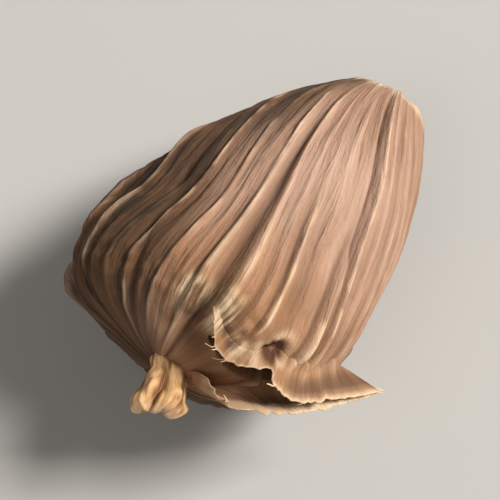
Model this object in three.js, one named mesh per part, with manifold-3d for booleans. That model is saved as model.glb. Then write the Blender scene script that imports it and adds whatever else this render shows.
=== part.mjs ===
// A dried black cardamom pod: one seed capsule, whole, lying on its side.
//
// Millimetres. +Z is up and the pod lies on the plane z = 0, on a small flat spot. Its long axis runs
// along Y: the narrow neck, which ends in the scar where it left the flower spike, points to +Y, and
// the broad crown, with the stub of the dried flower tube, points to -Y. The origin is on the surface
// that it lies on, under the middle of the pod.
//
// The husk is drawn as a grid of points round the axis ("turn", an angle) and along it ("share", from
// 0 at the scar to 1 at the middle of the crown). Four columns of points follow each rib, so the ribs,
// the valleys between them and the thin frilled wings all come out of one formula.

import * as THREE from 'three';
import { mergeVertices } from 'three/addons/utils/BufferGeometryUtils.js';
import Module from 'manifold-3d';

const wasm = await Module();
wasm.setup();

const degrees = THREE.MathUtils.degToRad;

// Main form
const BODY_LENGTH = 27.4; // from the scar's rim to the middle of the crown
const HALF_WIDTH = 9.3;
const HALF_HEIGHT = 7.7;
const WIDEST_AT = 0.7; // share of the length
const SCAR_SIZE = 0.36; // the scar's radius as a share of the widest
const SCAR_HOLLOW = 0.9; // how deep the scar's face is sunk
const NECK_POWER = 2.1; // how full the neck is
const CROWN_POWER = 2.55; // how blunt the crown is: 2 is an ellipse
const NECK_SHIFT = 1.6; // the neck bends a little to +X
const LOBE = 0.035; // three blunt lobes, one for each seed chamber
const LOBE_TURN = degrees(28);

// How it lies
const BEST_SIDE = degrees(14); // turn 0 faces this far to +X of straight up
const RESTING_TILT = degrees(8.5); // the neck lies lower than the crown
const AXIS_HEIGHT = 7.11; // of the pod's middle over the surface
const MIDDLE_SHIFT = new THREE.Vector2(-1.52, 1.43); // centres the pod over the origin

// Ribs
const RIBS = 40;
const RIB_STEP = (2 * Math.PI) / RIBS;
const RIB_HEIGHT = 0.34;
const VALLEY_DEPTH = 0.29;
const RIB_TWIST = degrees(50); // the ribs wind this far round between the scar and the crown
const TWIST_ZERO_AT = 0.62; // share at which a rib is at its own turn
const RIB_SWAY = degrees(1.6);

// Ribs that stand out: turn, and gain in height
const BOLD_RIBS = [[-76, 1.5], [-47, 2.1], [-31.5, 1.1], [-16.5, 1.6], [-4, 1.3], [15.5, 1.4], [31, 1.2], [42, 1.7],
  [58.5, 1.3], [112.5, 1.7], [-130.5, 1.8], [-157.5, 1.3]];

// Deep furrows: turn, depth, width, and the shares between which they run
const FURROWS = [[-9.5, 1.0, 0.08, 0.1, 1.3], [37.5, 0.85, 0.06, 0.02, 0.56], [-57, 0.6, 0.09, 0.3, 1.0],
  [-103, 0.8, 0.11, 0.1, 0.9],
  [126, 0.9, 0.11, 0.05, 0.85], [-171, 0.45, 0.09, 0.3, 1.1]];

// Thin wings that stand up from a rib: turn, height, and the shares between which they run
const WINGS = [[-47, 0.25, 0.45, 0.88], [-94.5, 0.3, 0.5, 0.9], [-130.5, 0.9, 0.55, 0.97],
  [94.5, 0.7, 0.6, 0.88], [139.5, 0.9, 0.55, 0.95]];
const WING_HALF_THICKNESS = 0.36;
const WING_WAVES = 5; // ripples over the pod's length
const WING_RIPPLE = degrees(1.6);

// Dents in the husk: turn, share, depth and reach in millimetres. The first two lie beside the stub, and a
// negative depth is a swelling.
const DENTS = [[27, 0.98, 1.7, 1.6], [0, 0.96, 1.1, 1.8], [62, 0.95, 1.1, 2.6], [-30, 0.3, 0.45, 3.2],
  [-62, 0.66, 0.5, 3.6], [150, 0.4, 0.5, 3.5], [-140, 0.35, 0.4, 3.4], [34, 0.79, 0.5, 1.7], [110, 0.965, 0.8, 2.0],
  [178, 0.93, 0.9, 2.6], [-112, 0.985, 0.8, 2.3],
  [-94, 0.93, -0.9, 4.2], [69, 0.7, -0.7, 4.2]];
const SMOOTH_FACE = { turn: degrees(8), share: 0.42, reach: 4.6, kept: 0.2 }; // ribs are faint here
const PRESSED_SIDE = { turn: Math.PI - BEST_SIDE, share: 0.55, reach: 5.5, kept: 0.35 };

// The split in the crown, and its two papery lips. Each lip point is its turn, share and flare.
const SPLIT_FROM = [degrees(30), 0.965];
const SPLIT_TO = [degrees(72), 0.86];
const SPLIT_LENGTH = 8.4;
const SPLIT_GAP = 1.7;
const SPLIT_DEPTH = 3.4;
const UPPER_LIP = [[-5, 0.83, 0.1], [6, 0.915, 0.5], [24, 0.95, 0.6], [34, 0.945, 0.7], [45, 0.905, 0.8],
  [53, 0.905, 1.3], [61, 0.89, 1.9], [66, 0.855, 2.2], [70, 0.81, 2.6], [74, 0.755, 3.4], [75.5, 0.73, 3.6],
  [77, 0.71, 2.2], [78, 0.695, 0.1]];
const LOWER_LIP = [[42, 0.985, 0.1], [52, 0.98, 1.1], [58, 0.975, 1.4], [62, 0.96, 1.7], [66, 0.935, 1.8],
  [69, 0.9, 2.1], [71.5, 0.86, 2.4], [74, 0.815, 2.9], [76, 0.775, 3.4], [77.5, 0.75, 3.5], [79, 0.73, 2.2],
  [80, 0.715, 0.1]];
const LIP_THICKNESS = 0.62;
const LIP_ROOT = 0.9; // how deep a lip's root is sunk
const PIT = { turn: degrees(42), share: 0.868, radius: 1.05, depth: 0.7 };

// The stub of the dried flower tube
const STUB_TURN = degrees(20);
const STUB_SHARE = 0.9995;
const STUB_RADIUS = 1.35;
const STUB_LENGTH = 3.4;
const STUB_ROOT = 1.9;
const STUB_SIDES = 25;
const STUB_FLUTES = 5;
const STUB_LEAN = new THREE.Vector3(0.3, -1, -0.12); // the way that it points

// Grid
const NECK_ROWS = 15;
const CROWN_ROWS = 13;
const COLUMN_PLACES = [0, 0.27, 0.5, 0.73]; // crest, flank, valley and flank, as shares of a rib's step

// A repeatable number from 0 to 1 for a numbered thing
function chance(number, kind) {
  const x = Math.sin(number * 127.1 + kind * 311.7) * 43758.5453;
  return x - Math.floor(x);
}

const smoothly = (x, from, to) => THREE.MathUtils.smoothstep(x, from, to);

// An angle brought to between -180 and 180 degrees
function wrapped(angle) {
  return angle - 2 * Math.PI * Math.round(angle / (2 * Math.PI));
}

// 1 between two shares, fading to 0 over a little beyond each
function between(share, from, to, fade = 0.1) {
  return smoothly(share, from - fade, from + fade) * (1 - smoothly(share, to - fade, to + fade));
}

// The husk's outline: its size there, as a share of the widest
function outline(share) {
  if (share <= WIDEST_AT) {
    return 1 - (1 - SCAR_SIZE) * ((WIDEST_AT - share) / WIDEST_AT) ** NECK_POWER;
  }
  const out = Math.min(1, (share - WIDEST_AT) / (1 - WIDEST_AT));
  return (1 - out ** CROWN_POWER) ** (1 / CROWN_POWER);
}

// The share of the length that lies w of the way (0 to 1) round the crown's curve, in even steps
function crownShare(w) {
  return WIDEST_AT + (1 - WIDEST_AT) * Math.sin((w * Math.PI) / 2) ** (2 / CROWN_POWER);
}

// How far the ribs have wound round at a share of the length
function twist(share) {
  const wound = (s) => 1 - (1 - s) ** 2;
  return RIB_TWIST * (wound(share) - wound(TWIST_ZERO_AT));
}

// A point of the plain husk, lifted straight out of it by a height
function skin(turn, share, lift = 0, size = outline(share)) {
  const angle = turn + BEST_SIDE;
  const lobes = 1 + LOBE * Math.cos(3 * (turn - LOBE_TURN));
  const radius = lobes / Math.hypot(Math.sin(angle) / HALF_WIDTH, Math.cos(angle) / HALF_HEIGHT);
  const step = 0.004;
  const near = share > 1 - 2 * step ? 1 - 2 * step : Math.max(share, step);
  const slope = ((outline(near + step) - outline(near - step)) * radius) / (2 * step * BODY_LENGTH);
  const out = 1 / Math.hypot(1, slope);
  const along = slope * out;
  const reach = radius * size + lift * out;
  return new THREE.Vector3(
    reach * Math.sin(angle) + NECK_SHIFT * (1 - share) ** 1.5,
    BODY_LENGTH * (0.5 - share) + lift * along,
    reach * Math.cos(angle),
  );
}

const ribs = Array.from({ length: RIBS }, (_, i) => {
  const turn = -Math.PI + (i + 0.5) * RIB_STEP;
  const bold = BOLD_RIBS.find(([at]) => Math.abs(wrapped(degrees(at) - turn)) < RIB_STEP / 2);
  return {
    turn: bold ? degrees(bold[0]) : turn + 0.45 * RIB_STEP * (chance(i, 1) - 0.5),
    height: RIB_HEIGHT * (0.3 + 0.8 * chance(i, 2)) * (bold ? bold[1] : 1),
    valley: VALLEY_DEPTH * (0.5 + 0.9 * chance(i, 3)),
    starts: bold || i % 2 === 0 ? 0.0 : 0.08 + 0.3 * chance(i, 4),
    ends: i % 2 === 0 ? 1.1 : 0.88 + 0.09 * chance(i, 6),
    sway: 2 * Math.PI * chance(i, 5),
    wing: WINGS.find(([at]) => Math.abs(wrapped(degrees(at) - turn)) < RIB_STEP / 2),
  };
});

// How much of its wing a rib has at a share of the length, 0 to 1
function wingThere(rib, share) {
  return rib.wing ? between(share, rib.wing[2], rib.wing[3], 0.06) : 0;
}

function ribTurn(rib, share) {
  const ripple = WING_RIPPLE * wingThere(rib, share) * Math.sin(2 * Math.PI * WING_WAVES * share + rib.sway);
  return rib.turn + twist(share) + RIB_SWAY * Math.sin(9 * share + rib.sway) + ripple;
}

function ribHeight(rib, share) {
  const fadeIn = smoothly(share, rib.starts, rib.starts + 0.12);
  const fadeOut = (1 - smoothly(share, rib.ends - 0.06, rib.ends)) * (1 - 0.6 * smoothly(share, 0.93, 1));
  const uneven = 1 + 0.3 * Math.sin(23 * share + 2 * rib.sway);
  const frill = 1 + 0.28 * Math.sin(2 * Math.PI * WING_WAVES * 1.6 * share + 3 * rib.sway);
  const wing = rib.wing ? rib.wing[1] * wingThere(rib, share) * frill : 0;
  return rib.height * fadeIn * fadeOut * uneven + wing;
}

// What dents and furrows take off the husk at a turn and share
function hollows(turn, share) {
  let depth = 0;
  for (const [at, deep, width, from, to] of FURROWS) {
    const away = wrapped(turn - degrees(at) - twist(share)) / width;
    depth += deep * between(share, from, to) * Math.exp(-away * away);
  }
  const here = skin(turn, share);
  for (const [at, s, deep, reach] of DENTS) {
    depth += deep * Math.exp(-((here.distanceTo(skin(degrees(at), s)) / reach) ** 2));
  }
  return depth;
}

// The share of their height that ribs keep at a turn and share: less on the smooth and pressed sides
function ribsKept(turn, share) {
  const here = skin(turn, share);
  return [SMOOTH_FACE, PRESSED_SIDE].reduce((kept, side) => {
    const away = here.distanceTo(skin(side.turn, side.share)) / side.reach;
    return kept * (1 - (1 - side.kept) * Math.exp(-away * away));
  }, 1);
}

// A point of the finished husk in the column that lies a place past a rib
function huskPoint(index, place, share) {
  const rib = ribs[index];
  const next = ribs[(index + 1) % RIBS];
  const start = ribTurn(rib, share);
  const step = wrapped(ribTurn(next, share) - start);
  const radius = outline(share) * HALF_WIDTH + 0.5;
  const thin = WING_HALF_THICKNESS / radius / step;
  let at = place;
  if (place === COLUMN_PLACES[1]) at = THREE.MathUtils.lerp(place, Math.min(place, thin), wingThere(rib, share));
  if (place === COLUMN_PLACES[3]) at = THREE.MathUtils.lerp(place, Math.max(place, 1 - thin), wingThere(next, share));
  const turn = start + at * step;
  let lift = -rib.valley * Math.sin(Math.PI * place) ** 2 * (1 - 0.7 * smoothly(share, 0.9, 1));
  if (place < 0.5) lift += ribHeight(rib, share) * (place === 0 ? 1 : 0.45 * (1 - wingThere(rib, share)));
  if (place > 0.5) lift += ribHeight(next, share) * 0.45 * (1 - wingThere(next, share));
  const size = Math.min(1, outline(share) * 1.15); // the relief shrinks with the husk
  return skin(turn, share, lift * ribsKept(turn, share) * size - hollows(turn, share) * size);
}

// A closed mesh's geometry from its points and faces
function geometryOf(points, faces) {
  const geometry = new THREE.BufferGeometry();
  geometry.setAttribute('position', new THREE.Float32BufferAttribute(points.flatMap((p) => p.toArray()), 3));
  geometry.setIndex(faces.flat());
  return geometry;
}

function solidOf(geometry) {
  const plain = geometry.clone();
  for (const name of ['normal', 'uv']) plain.deleteAttribute(name);
  const merged = mergeVertices(plain, 1e-4);
  return new wasm.Manifold(new wasm.Mesh({
    numProp: 3,
    vertProperties: new Float32Array(merged.attributes.position.array),
    triVerts: new Uint32Array(merged.index.array),
  }));
}

function geometryFrom(solid) {
  const { vertProperties, triVerts, numProp } = solid.getMesh();
  const geometry = new THREE.BufferGeometry();
  const points = new Float32Array((vertProperties.length / numProp) * 3);
  for (let i = 0; i < points.length / 3; i += 1) {
    for (let axis = 0; axis < 3; axis += 1) points[3 * i + axis] = vertProperties[numProp * i + axis];
  }
  geometry.setAttribute('position', new THREE.BufferAttribute(points, 3));
  geometry.setIndex(new THREE.BufferAttribute(new Uint32Array(triVerts), 1));
  return geometry;
}

// The husk: rings of points from the sunk middle of the scar to the middle of the crown
function makeHusk() {
  const shares = [];
  for (let i = 0; i < NECK_ROWS; i += 1) shares.push((WIDEST_AT * i) / NECK_ROWS);
  for (let i = 0; i < CROWN_ROWS; i += 1) shares.push(crownShare(i / CROWN_ROWS));
  const columns = ribs.flatMap((_, index) => COLUMN_PLACES.map((place) => [index, place]));
  const rings = shares.map((share) => columns.map(([index, place]) => huskPoint(index, place, share)));
  const rim = rings[0];
  const middle = skin(0, 0, 0, 0);
  const scarRings = [[0.45, 1], [0.8, 0.75]].map(([inwards, sunk]) => rim.map((point) => (
    point.clone().lerp(middle, inwards).add(new THREE.Vector3(0, -SCAR_HOLLOW * sunk, 0)))));
  const all = [scarRings[1], scarRings[0], ...rings];
  const scarMiddle = middle.clone().add(new THREE.Vector3(0, -0.6 * SCAR_HOLLOW, 0));
  const crownMiddle = skin(0, 1, -hollows(0, 1), 0);
  const points = [...all.flat(), scarMiddle, crownMiddle];
  const count = columns.length;
  const faces = [];
  for (let row = 0; row + 1 < all.length; row += 1) {
    for (let i = 0; i < count; i += 1) {
      const [a, b] = [row * count + i, row * count + ((i + 1) % count)];
      faces.push([a, b + count, b], [a, a + count, b + count]);
    }
  }
  const last = (all.length - 1) * count;
  for (let i = 0; i < count; i += 1) {
    const next = (i + 1) % count;
    faces.push([i, next, count * all.length]);
    faces.push([last + next, last + i, count * all.length + 1]);
  }
  return geometryOf(points, faces);
}

// A lip: a thin blade along points of the husk, its root sunk and its edge bent towards the split
function makeLip(lip, bend) {
  const curve = new THREE.CatmullRomCurve3(lip.map(([turn, share, flare]) => new THREE.Vector3(turn, share, flare)));
  const steps = lip.length * 2;
  const points = [];
  for (let i = 0; i <= steps; i += 1) {
    const { x, y: share, z: flare } = curve.getPoint(i / steps);
    const turn = degrees(x);
    const root = skin(turn, share, -LIP_ROOT);
    const edge = skin(turn, share, flare);
    const across = skin(turn, share - 0.01).sub(skin(turn, share + 0.01)).normalize();
    const ripple = 0.16 * Math.sin(5.3 * i * 0.5);
    edge.addScaledVector(across, (bend + ripple) * Math.min(1, flare));
    const half = (LIP_THICKNESS / 2) * Math.min(1, 0.3 + 0.35 * i, 0.3 + 0.35 * (steps - i));
    points.push(root.clone().addScaledVector(across, -half), root.clone().addScaledVector(across, half));
    points.push(edge.clone().addScaledVector(across, half), edge.clone().addScaledVector(across, -half));
  }
  const faces = [[0, 1, 2], [0, 2, 3]];
  for (let i = 0; i < steps; i += 1) {
    for (let k = 0; k < 4; k += 1) {
      const [a, b] = [4 * i + k, 4 * i + ((k + 1) % 4)];
      faces.push([a, a + 4, b + 4], [a, b + 4, b]);
    }
  }
  const end = 4 * steps;
  faces.push([end, end + 2, end + 1], [end, end + 3, end + 2]);
  const solid = solidOf(geometryOf(points, faces));
  return solid.volume() > 0 ? solid : solidOf(geometryOf(points, faces.map(([a, b, c]) => [a, c, b])));
}

// The crescent that the split takes out of the crown, pushed in along the husk's own facing
function makeSplit() {
  const from = skin(...SPLIT_FROM);
  const to = skin(...SPLIT_TO);
  const along = to.clone().sub(from).normalize();
  const [turn, share] = [(SPLIT_FROM[0] + SPLIT_TO[0]) / 2, (SPLIT_FROM[1] + SPLIT_TO[1]) / 2 + 0.02];
  const outwards = skin(turn, share, 1).sub(skin(turn, share)).normalize();
  const across = outwards.clone().cross(along).normalize();
  const facing = along.clone().cross(across);
  const middle = skin(turn, share);
  const half = SPLIT_LENGTH / 2;
  const shape = new THREE.Shape();
  shape.moveTo(-half, 0);
  shape.bezierCurveTo(-0.5 * half, 0.9 * SPLIT_GAP, 0.1 * half, 0.1 * SPLIT_GAP, half, 0.35 * SPLIT_GAP);
  shape.bezierCurveTo(0.5 * half, -0.9 * SPLIT_GAP, -0.5 * half, -0.8 * SPLIT_GAP, -half, 0);
  const block = new THREE.ExtrudeGeometry(shape, { depth: 2 * SPLIT_DEPTH, bevelEnabled: false, curveSegments: 8 });
  block.translate(0, 0, -SPLIT_DEPTH);
  block.applyMatrix4(new THREE.Matrix4().makeBasis(along, across, facing).setPosition(middle));
  return solidOf(block);
}

function makePit() {
  const ball = new THREE.SphereGeometry(PIT.radius, 12, 8);
  const at = skin(PIT.turn, PIT.share, PIT.radius - PIT.depth - hollows(PIT.turn, PIT.share));
  return solidOf(ball.translate(at.x, at.y, at.z));
}

// The stub: a fluted tube, open at its broken end
function makeStub() {
  const r = STUB_RADIUS;
  const profile = [[0, -STUB_ROOT], [r * 0.85, -STUB_ROOT], [r * 0.95, 0], [r * 1.02, 0.5 * STUB_LENGTH],
    [r * 1.06, 0.8 * STUB_LENGTH], [r * 0.92, STUB_LENGTH], [r * 0.62, STUB_LENGTH * 0.97],
    [r * 0.4, 0.65 * STUB_LENGTH], [0, 0.55 * STUB_LENGTH]].map(([x, y]) => new THREE.Vector2(x, y));
  const tube = new THREE.LatheGeometry(profile, STUB_SIDES);
  const place = tube.attributes.position;
  for (let i = 0; i < place.count; i += 1) {
    const angle = Math.atan2(place.getX(i), place.getZ(i));
    const up = THREE.MathUtils.clamp(place.getY(i) / STUB_LENGTH, 0, 1);
    const flute = 1 + (0.05 + 0.1 * up) * Math.cos(STUB_FLUTES * angle) - 0.12 * up * Math.cos(2 * angle);
    place.setXYZ(i, place.getX(i) * flute, place.getY(i) + 0.22 * up * Math.cos(3 * angle + 1), place.getZ(i) * flute);
  }
  const turned = new THREE.Quaternion().setFromUnitVectors(new THREE.Vector3(0, 1, 0), STUB_LEAN.clone().normalize());
  const root = skin(STUB_TURN, STUB_SHARE, -0.3);
  tube.applyQuaternion(turned).translate(root.x, root.y, root.z);
  return solidOf(tube);
}

// Turns the finished pod to the way that it lies, and takes the flat spot off its underside
function laidDown(solid) {
  const geometry = geometryFrom(solid);
  geometry.rotateX(-RESTING_TILT);
  geometry.translate(MIDDLE_SHIFT.x, MIDDLE_SHIFT.y, AXIS_HEIGHT);
  const block = new THREE.BoxGeometry(60, 60, 10).translate(0, 0, -5);
  return solidOf(geometry).subtract(solidOf(block));
}

const whole = solidOf(makeHusk())
  .subtract(makeSplit())
  .subtract(makePit())
  .add(makeLip(UPPER_LIP, -0.25))
  .add(makeLip(LOWER_LIP, 0.5))
  .add(makeStub());

const dryHusk = new THREE.MeshStandardMaterial({ color: 0x8a6750, roughness: 0.82, metalness: 0 });
const pod = new THREE.Mesh(geometryFrom(laidDown(whole)), dryHusk);
pod.name = 'cardamom_pod';

const part = new THREE.Group();
part.add(pod);

export default part;
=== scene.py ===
# A dried black cardamom pod, lying on its side on a pale floor.
#
# The pod is worked out in millimetres in its own frame, with its axis along Y, from the scar at its
# narrow neck (+Y) to the middle of its broad crown (-Y). A place on it is a "turn" round the axis and a
# "share" of its length, from 0 at the scar's rim to 1 at the crown. A piece starts as a plain form, made
# with edit-mode operators, and is then sculpted by moving its points.

import math
from functools import partial

import bpy
import numpy as np
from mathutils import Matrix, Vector


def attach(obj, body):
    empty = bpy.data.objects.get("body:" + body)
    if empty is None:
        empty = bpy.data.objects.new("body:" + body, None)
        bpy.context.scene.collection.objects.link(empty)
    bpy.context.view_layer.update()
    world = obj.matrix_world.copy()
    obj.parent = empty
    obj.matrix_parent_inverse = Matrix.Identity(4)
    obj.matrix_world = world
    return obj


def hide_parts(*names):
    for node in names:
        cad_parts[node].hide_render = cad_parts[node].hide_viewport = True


MM = 0.001
NODE = "cardamom_pod"

# Main form, as in the solid model
BODY_LENGTH = 27.4
HALF_WIDTH = 9.3
HALF_HEIGHT = 7.7
WIDEST_AT = 0.7
SCAR_SIZE = 0.36
SCAR_HOLLOW = 0.9
SCAR_CHIPS = 0.28  # how deep its rim is chipped
SCAR_RIM_REACH = 0.02  # how far down the side the chips and the pale rim reach, as a share
NECK_POWER = 2.1
CROWN_POWER = 2.55
NECK_SHIFT = 1.6  # how far the neck lies aside of the axis
LOBE = 0.035  # how far its three sides stand out
LOBE_TURN = math.radians(28)

# How it lies
BEST_SIDE = math.radians(14)
RESTING_TILT = math.radians(8.5)
AXIS_HEIGHT = 7.11
MIDDLE_SHIFT = (-1.52, 1.43)

# Ribs
RIBS = 40
RIB_STEP = 2 * math.pi / RIBS
RIB_HEIGHT = 0.34
VALLEY_DEPTH = 0.29
RIB_TWIST = math.radians(50)
TWIST_ZERO_AT = 0.62
RIB_SWAY = math.radians(1.2)
SWAY_PACE = 9
CROWN_SPREAD = math.radians(18)  # how far ribs draw apart at the crown
SPREAD_FROM = 0.6  # the share from which they do
SPREAD_MIDDLE = math.radians(-12)  # they draw away from this turn and from its opposite
RIB_SPREAD = 0.15  # a crest's half width, as a share of the step between ribs
# Bold ribs: turn, height, and the share at which each starts
BOLD_RIBS = [(-157.5, 1.3, 0), (-130.5, 1.8, 0), (-76, 1.5, 0), (-46.5, 2.1, 0), (-31.5, 1.1, 0),
             (-16.5, 1.6, 0), (-4, 1.3, 0), (12, 1.9, 0.5), (35.8, 2.1, 0.5), (42, 1.9, 0), (58.5, 1.3, 0),
             (112.5, 1.7, 0)]

# Deep furrows: turn, depth, width, and the shares between which they run
FURROWS = [(-9.5, 1.0, 0.08, 0.32, 1.3), (37.5, 1.05, 0.06, 0.02, 0.63), (-57, 0.6, 0.09, 0.3, 1.0),
           (-103, 0.8, 0.11, 0.1, 0.9), (126, 0.9, 0.11, 0.05, 0.85), (-171, 0.45, 0.09, 0.3, 1.1)]

# Thin wings on ribs: turn, height, and the shares between which they run
WINGS = [(-94.5, 0.2, 0.5, 0.9), (-130.5, 0.26, 0.55, 0.95),
         (94.5, 0.35, 0.6, 0.88), (139.5, 0.35, 0.5, 0.92)]
NO_WING = (0, 0, 2, 3)
WING_HALF_THICKNESS = 0.3
WING_WAVES = 5
WING_RIPPLE = math.radians(1.6)

# Dents: turn, share, depth and reach. A negative depth is a swelling.
DENTS = [(27, 0.98, 1.7, 1.6), (0, 0.96, 1.1, 1.8), (62, 0.95, 1.1, 2.6), (-30, 0.3, 0.45, 3.2),
         (-62, 0.66, 0.5, 3.6), (150, 0.4, 0.5, 3.5), (-140, 0.35, 0.4, 3.4), (34, 0.79, 0.5, 1.7),
         (110, 0.965, 0.8, 2.0), (178, 0.93, 0.9, 2.6), (-112, 0.985, 0.8, 2.3), (-94, 0.93, -0.9, 4.2),
         (69, 0.7, -0.7, 4.2)]

# Smooth sides: turn, share, reach, and what ribs keep there of their height
SMOOTH_FACE = (math.radians(9), 0.42, 5.0, 0.12)
PRESSED_SIDE = (math.pi - BEST_SIDE, 0.55, 5.5, 0.35)

# Where the skin looks different, partly as painted light and shade. A place is its turn, share and reach.
BARED_LIT_TURN = math.radians(24)  # the middle of the side that is rubbed pale and turned to the light: paler there partly as painted light, and darker away from it as painted shade
FRAYED_ZONES = [(6, 0.91, 1.9), (-4, 0.92, 1.5), (-13, 0.893, 1.1), (27, 0.935, 0.9)]
# Painted shadows: dark spots that stand in for the shade in the hollow between the stub and the lips.
PAINTED_SHADOWS = [(12, 0.972, 1.4)]
# Painted light: pale places that lift spots lying in shade, on the lips' shoulder and on the crown's left.
PAINTED_LIGHT_PLACES = [(66, 0.835, 2.4), (56, 0.88, 1.6), (-22, 0.972, 2.2)]
PAINTED_LIGHT_SHARE = 0.45  # how pale they are, against the smooth face

# The split in the crown and its lips. A lip point is its turn, share and flare.
SPLIT_FROM = (math.radians(30), 0.965)
SPLIT_TO = (math.radians(72), 0.86)
SPLIT_LENGTH = 7.6
SPLIT_SHIFT = 0.4
SPLIT_GAP = 1.7
SPLIT_HALF = 0.62  # half its width in its middle, as a share of the gap
SPLIT_ASIDE = 0.12  # how far it lies towards the neck, and bows away from it, in gaps
SPLIT_BOW = 0.25
SPLIT_WALL = (0.45, 1.05)  # from where to where across it its wall slopes
SPLIT_UNDER = -2.5  # no deeper than this under its middle is the husk cut by it
SPLIT_DEPTH = 3.2
UPPER_LIP = [(3, 0.9, 0.05), (14, 0.935, 0.25), (24, 0.95, 0.45), (34, 0.945, 0.55), (45, 0.905, 0.75),
             (53, 0.905, 1.2), (61, 0.89, 1.8), (66, 0.855, 2.2), (70, 0.81, 2.7), (74, 0.755, 3.6),
             (76, 0.735, 4.2)]
LOWER_LIP = [(42, 0.985, 0.2), (50, 0.98, 1.3), (57, 0.975, 1.5), (62, 0.96, 1.7), (66, 0.935, 1.8),
             (69, 0.9, 2.1), (71.5, 0.86, 2.4), (74, 0.815, 2.9), (75.5, 0.775, 3.6), (76, 0.74, 4.1)]
LIP_THICKNESS = 0.3
LIP_LONG = 150
LIP_CROSS = 16
LIP_THIN_SHARE = 0.35  # what its edge has of its thickness
LIP_PER_FLARE = 1.1
LIP_SHORTEST = 0.25
LIP_WIDEST = 2.4
LIP_RISE_POWER = 2.6
TEAR = 0.22
SPUR_FROM = math.radians(67)  # from this turn on, the lips leave the husk as one spur
SPUR_SPREAD = 0.3
SPUR_ROOT = 0.815
LINE_STEPS = 400
# The split's sides: the lip, where the husk is, how the edge leans, from where it is pale, and a seed
UPPER_SIDE = (UPPER_LIP, -1, -0.2, 0.92, 41)
LOWER_SIDE = (LOWER_LIP, 1, 0.4, 0.8, 51)

# The pit beside the split
PIT_TURN = math.radians(42)
PIT_SHARE = 0.883
PIT_RADIUS = 0.92
PIT_DEPTH = 0.55
PIT_RIM_HEIGHT = 0.1

# The stub of the dried flower tube
STUB_TURN = math.radians(20)
STUB_SHARE = 0.9995
STUB_RADIUS = 1.35
STUB_LENGTH = 3.4
STUB_ROOT = 1.9  # the length of its root, inside the crown
STUB_SUNK = 0.3  # how deep its foot lies under the skin
STUB_LEAN = (0.3, -1, -0.12)
STUB_FLUTES = 5
STUB_SIDES = 40
STUB_MOUTH_RING = 9  # the ring of its form that is its pursed end
# Its radius at each depth of its root and at each height above it, as shares
STUB_ROOT_FORM = [(0.85, 1.0), (0.88, 0.5)]
STUB_FORM = [(0.86, 0.0), (0.84, 0.2), (0.94, 0.42), (1.08, 0.62), (1.12, 0.8), (1.0, 0.94),
             (0.78, 1.01), (0.54, 1.0), (0.36, 0.9), (0.24, 0.74), (0.12, 0.7)]

# The solid model's ribs are a little coarser than the real ones: what is kept of their height
BOLD_KEPT = 0.66
PLAIN_KEPT = 0.3
VALLEY_KEPT = 0.24
VALLEY_WALL = (0.04, 0.42)  # from where to where a valley's side slopes, in steps between ribs
RIB_POWER = 1.5  # how sharply a rib falls away
CREST_SPREAD = 0.1  # half the width of the pale line on a crest, in steps
GROOVE_AT = 0.27  # where the groove beside a rib lies, and half its width, in steps
GROOVE_SPREAD = 0.1
GROOVE_DEPTH = 0.14
FURROW_KEPT = 0.5
FURROW_NARROWED = 0.6
DENT_KEPT = 0.6

# Fine relief that the solid model leaves out, in millimetres
STRAND_HEIGHT = 0.06
FIBRE_HEIGHT = 0.03
WRINKLE_HEIGHT = 0.07
SWELL_HEIGHT = 0.09

# Uneven patterns: how many columns round the pod, how many rows along it, and the seed
STRANDS = (150, 6, 11)
THIN_STRANDS = (230, 10, 12)
FIBRES = (400, 22, 13)
WRINKLES = (80, 56, 14)
WRINKLE_PATCHES = (12, 8, 15)
SWELLS = (7, 5, 16)
RIB_WEAR = (RIBS, 9, 17)
BARED_LIT_EDGE = (26, 4, 18)
VALLEY_WEAR = (RIBS, 5, 19)
CREST_BREAKS = (RIBS, 22, 20)
SCAR_GRAIN = (36, 5, 21)
SCAR_RIM_CHIPS = (52, 1, 22)
SCAR_RIM_WEAR = (44, 1, 23)
SCAR_RIM_FRINGE = (90, 1, 24)
STUB_BUMPS = (13, 5, 31)
STUB_CREASES = (34, 7, 32)
STUB_TEARS = (9, 1, 33)
STUB_NICKS = (23, 1, 34)

# Frayed fibres: the lip, from and to where on it, how many, and how long
FRAYED_EDGES = [(UPPER_SIDE, 0.06, 0.34, 8, 0.65), (UPPER_SIDE, 0.4, 0.7, 3, 0.4),
                (LOWER_SIDE, 0.1, 0.4, 4, 0.6)]
FIBRE_POINTS = 9
FIBRE_RADIUS = 0.055

# How finely the husk is made
CAGE_COLUMNS = 60
SCAR_SPANS = 2
SIDE_SPANS = 22
NECK_SPAN_SHARE = 0.6
HUSK_LEVELS = 3


def chance(number, kind):
    """A repeatable number from 0 to 1 for a numbered thing."""
    x = math.sin(number * 127.1 + kind * 311.7) * 43758.5453
    return x - math.floor(x)


def smoothly(x, start, end):
    """0 before start and 1 after end, with a soft rise between."""
    t = np.clip((x - start) / (end - start), 0, 1)
    return t * t * (3 - 2 * t)


def between(share, start, end, fade=0.1):
    """1 between two shares, fading to 0 over a little beyond each."""
    return smoothly(share, start - fade, start + fade) * (1 - smoothly(share, end - fade, end + fade))


def wrapped(angle):
    """The same angle, within half a turn of 0."""
    return angle - 2 * np.pi * np.round(angle / (2 * np.pi))


def unevenness(around, along, pattern):
    """A smooth random field from -1 to 1 that joins up round the pod. around and along run from 0 to 1."""
    columns, rows, seed = pattern
    table = np.random.default_rng(seed).uniform(-1, 1, (rows + 1, columns))
    u = np.mod(around, 1) * columns
    v = np.clip(along, 0, 1) * rows
    column = np.floor(u).astype(int) % columns
    row = np.minimum(np.floor(v).astype(int), rows - 1)
    across = smoothly(u - np.floor(u), 0, 1)
    down = smoothly(v - row, 0, 1)
    after = (column + 1) % columns
    near = table[row, column] * (1 - across) + table[row, after] * across
    far = table[row + 1, column] * (1 - across) + table[row + 1, after] * across
    return near * (1 - down) + far * down


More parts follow.
